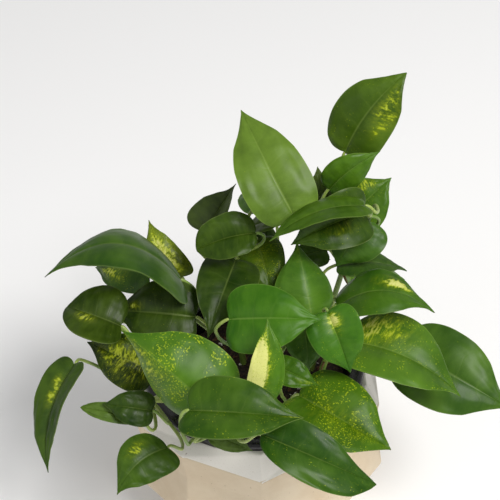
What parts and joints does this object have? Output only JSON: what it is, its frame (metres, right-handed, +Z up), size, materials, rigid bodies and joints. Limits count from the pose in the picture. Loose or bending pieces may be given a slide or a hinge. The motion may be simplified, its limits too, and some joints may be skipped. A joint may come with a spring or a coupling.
{
  "type": "potted pothos plant",
  "caption": "Golden pothos houseplant with heart-shaped variegated leaves on short vines, in a black nursery pot set inside a low-poly faceted cream planter",
  "frame": {"origin": "centre of the planter's flat base, on the surface it stands on", "axes": "+Z up, the planter's axis; -Y is the front that the hanging leaves cover; +X is to the right seen from the front"},
  "size_m": [0.2685, 0.2319, 0.288],
  "materials": {
    "planter_stoneware": "matte unglazed cream stoneware with flat moulded facets",
    "nursery_plastic": "glossy black thin moulded plastic",
    "potting_soil": "dark damp potting mix of peat, bark and perlite",
    "green_stalk": "smooth satin green stems and leaf stalks",
    "leaf_blade": "waxy satin green leaf with yellow and cream variegation"
  },
  "bodies": {
    "root": {"planter": "planter_stoneware", "nursery_pot": "nursery_plastic", "soil": "potting_soil", "vine_1": "green_stalk", "vine_2": "green_stalk", "vine_3": "green_stalk", "vine_4": "green_stalk", "vine_5": "green_stalk", "vine_6": "green_stalk", "vine_7": "green_stalk", "vine_8": "green_stalk", "vine_9": "green_stalk", "leaf_crown_right": "leaf_blade", "leaf_crown_right_low": "leaf_blade", "leaf_crown_tall": "leaf_blade", "leaf_crown_behind": "leaf_blade", "leaf_crown_olive": "leaf_blade", "leaf_olive_lobe": "leaf_blade", "leaf_fold_bright": "leaf_blade", "leaf_fold_dark": "leaf_blade", "leaf_right_upper": "leaf_blade", "leaf_right_inner": "leaf_blade", "leaf_right_dark": "leaf_blade", "leaf_right_arched": "leaf_blade", "leaf_right_large": "leaf_blade", "leaf_right_far": "leaf_blade", "leaf_centre_streaked": "leaf_blade", "leaf_centre_light": "leaf_blade", "leaf_centre_bright": "leaf_blade", "leaf_centre_dark": "leaf_blade", "leaf_left_streaked": "leaf_blade", "leaf_left_round": "leaf_blade", "leaf_front_speckled": "leaf_blade", "leaf_front_middle": "leaf_blade", "leaf_front_cream": "leaf_blade", "leaf_front_small": "leaf_blade", "leaf_front_right": "leaf_blade", "leaf_front_hanging": "leaf_blade", "leaf_left_hanging": "leaf_blade", "leaf_left_variegated": "leaf_blade", "leaf_left_low": "leaf_blade", "leaf_left_under": "leaf_blade", "leaf_rim_hanging": "leaf_blade", "leaf_rim_under": "leaf_blade", "leaf_left_long": "leaf_blade", "leaf_left_yellow": "leaf_blade", "leaf_left_upper": "leaf_blade", "leaf_centre_olive": "leaf_blade", "leaf_centre_edge": "leaf_blade", "leaf_centre_low": "leaf_blade", "leaf_centre_back": "leaf_blade", "leaf_back_tall": "leaf_blade", "leaf_back_right": "leaf_blade", "leaf_back_left": "leaf_blade", "leaf_back_far_left": "leaf_blade", "leaf_back_far_right": "leaf_blade", "leaf_back_low": "leaf_blade"}
  },
  "joints": []
}
